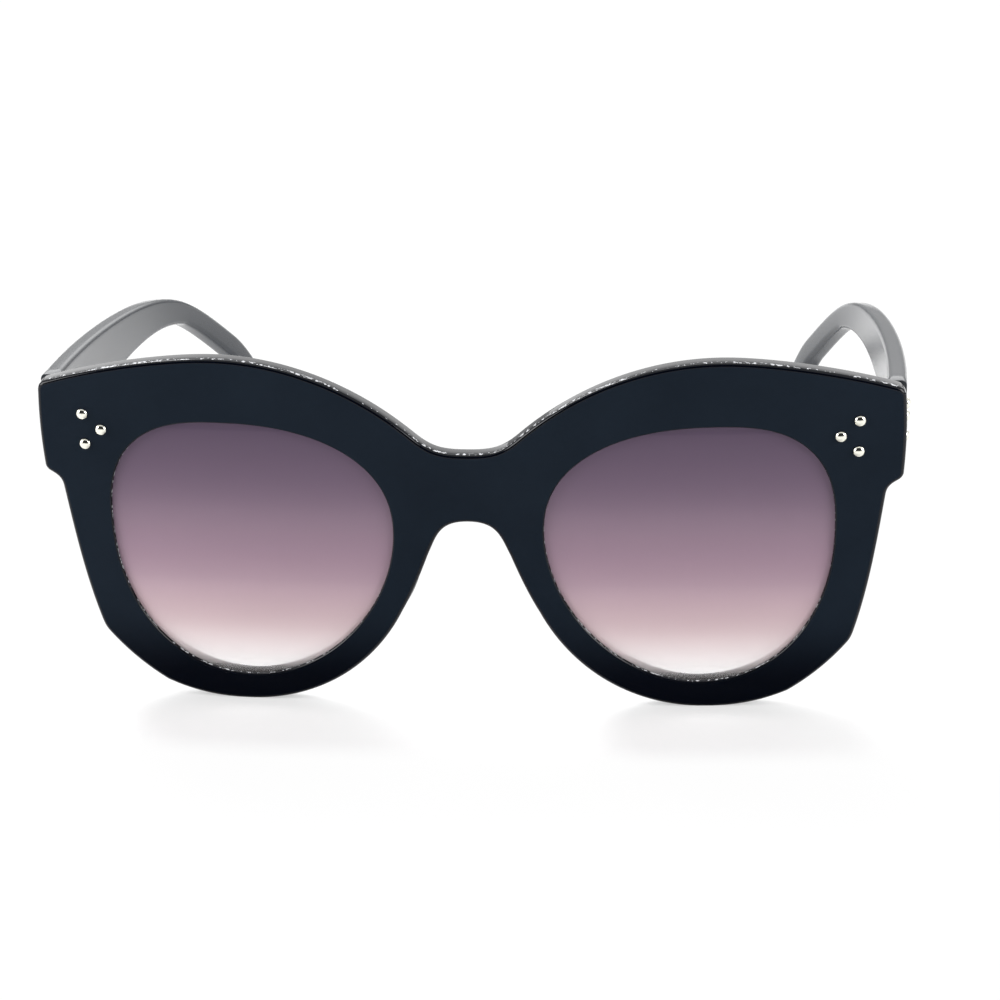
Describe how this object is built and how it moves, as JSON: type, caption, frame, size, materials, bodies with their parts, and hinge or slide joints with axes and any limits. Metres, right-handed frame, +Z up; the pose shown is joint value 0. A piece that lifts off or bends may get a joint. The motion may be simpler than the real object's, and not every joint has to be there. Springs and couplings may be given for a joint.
{
  "type": "sunglasses",
  "caption": "Oversized cat-eye sunglasses with a broad glossy black front, gradient tinted lenses, riveted hinges and folding temples.",
  "frame": {"origin": "on the floor, below the middle of the open sunglasses' bounding box", "axes": "+X to the wearer's left, which is the right side seen from the front; +Y from the front back to the temple tips; +Z up from the floor"},
  "size_m": [0.1516, 0.1392, 0.0656],
  "materials": {
    "black_acetate": "polished blue-black",
    "tinted_lens": "gradient tint, plum above to nearly clear rose below",
    "bright_rivets": "polished silver domes",
    "hinge_steel": "satin nickel silver",
    "core_steel": "drawn wire"
  },
  "bodies": {
    "front": {"front_frame": "black_acetate", "right_lens": "tinted_lens", "left_lens": "tinted_lens", "right_front_leaf": "hinge_steel", "left_front_leaf": "hinge_steel", "right_hinge_screw": "hinge_steel", "left_hinge_screw": "hinge_steel", "right_front_rivets": "bright_rivets", "left_front_rivets": "bright_rivets", "right_nose_pad": "black_acetate", "left_nose_pad": "black_acetate"},
    "right_arm": {"right_temple": "black_acetate", "right_temple_leaf": "hinge_steel", "right_temple_rivets": "bright_rivets", "right_core_wire": "core_steel"},
    "left_arm": {"left_temple": "black_acetate", "left_temple_leaf": "hinge_steel", "left_temple_rivets": "bright_rivets", "left_core_wire": "core_steel"}
  },
  "joints": [
    {"name": "right_temple_fold", "type": "hinge", "parent": "front", "child": "right_arm", "pos_m": [0.06861, -0.06, 0.05246], "axis": [0, 0.1265, 0.992], "range_deg": [0, 80]},
    {"name": "left_temple_fold", "type": "hinge", "parent": "front", "child": "left_arm", "pos_m": [-0.06861, -0.06, 0.05246], "axis": [0, -0.1265, -0.992], "range_deg": [0, 67]}
  ]
}
